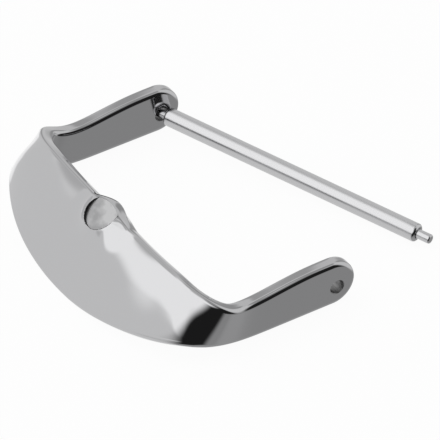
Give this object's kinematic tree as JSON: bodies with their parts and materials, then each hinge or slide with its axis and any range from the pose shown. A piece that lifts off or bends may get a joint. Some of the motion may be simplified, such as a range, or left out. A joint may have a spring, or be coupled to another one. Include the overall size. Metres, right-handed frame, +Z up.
{
  "type": "watch strap buckle",
  "caption": "Polished steel watch buckle frame with a sloping plate, a round bare seat at its inner edge, and a spring bar partly seated in its lug holes.",
  "frame": {"origin": "middle of the axis through the two lug holes", "axes": "+X across the strap from the far lug to the near lug, +Y from the plate back towards the lugs, +Z up from the table the buckle lies on"},
  "size_m": [0.0224, 0.0228, 0.0051],
  "materials": {
    "polished_steel": "mirror-polished stainless steel",
    "bar_steel": "drawn and lightly polished stainless tube",
    "tip_steel": "fine-turned stainless steel",
    "spring_wire": "drawn spring steel wire"
  },
  "bodies": {
    "buckle": {"frame": "polished_steel"},
    "bar_core": {"coil_spring": "spring_wire"},
    "tube": {"bar_tube": "bar_steel"},
    "far_tip": {"far_plunger": "tip_steel"},
    "near_tip": {"near_plunger": "tip_steel"}
  },
  "joints": [
    {"name": "bar_swing", "type": "hinge", "parent": "buckle", "child": "bar_core", "pos_m": [-0.01037, 0.00063, -0.00006], "axis": [0, 0.0966, 0.9953], "range_deg": [-22.8, 0]},
    {"name": "bar_spin", "type": "hinge", "parent": "bar_core", "child": "tube", "pos_m": [-0.00969, 0.00023, -0.00002], "axis": [0.9219, 0.3856, -0.0374], "continuous": true},
    {"name": "far_tip_press", "type": "slide", "parent": "bar_core", "child": "far_tip", "axis": [0.9219, 0.3856, -0.0374], "range_m": [0, 0.00095], "stiffness_N_per_m": 1500, "deforming": ["coil_spring"]},
    {"name": "near_tip_press", "type": "slide", "parent": "bar_core", "child": "near_tip", "axis": [-0.9219, -0.3856, 0.0374], "range_m": [0, 0.00125], "deforming": ["coil_spring"]}
  ],
  "couplings": [
    {"joint": "near_tip_press", "follows": "bar_swing", "m_per_rad": -0.0031419}
  ]
}
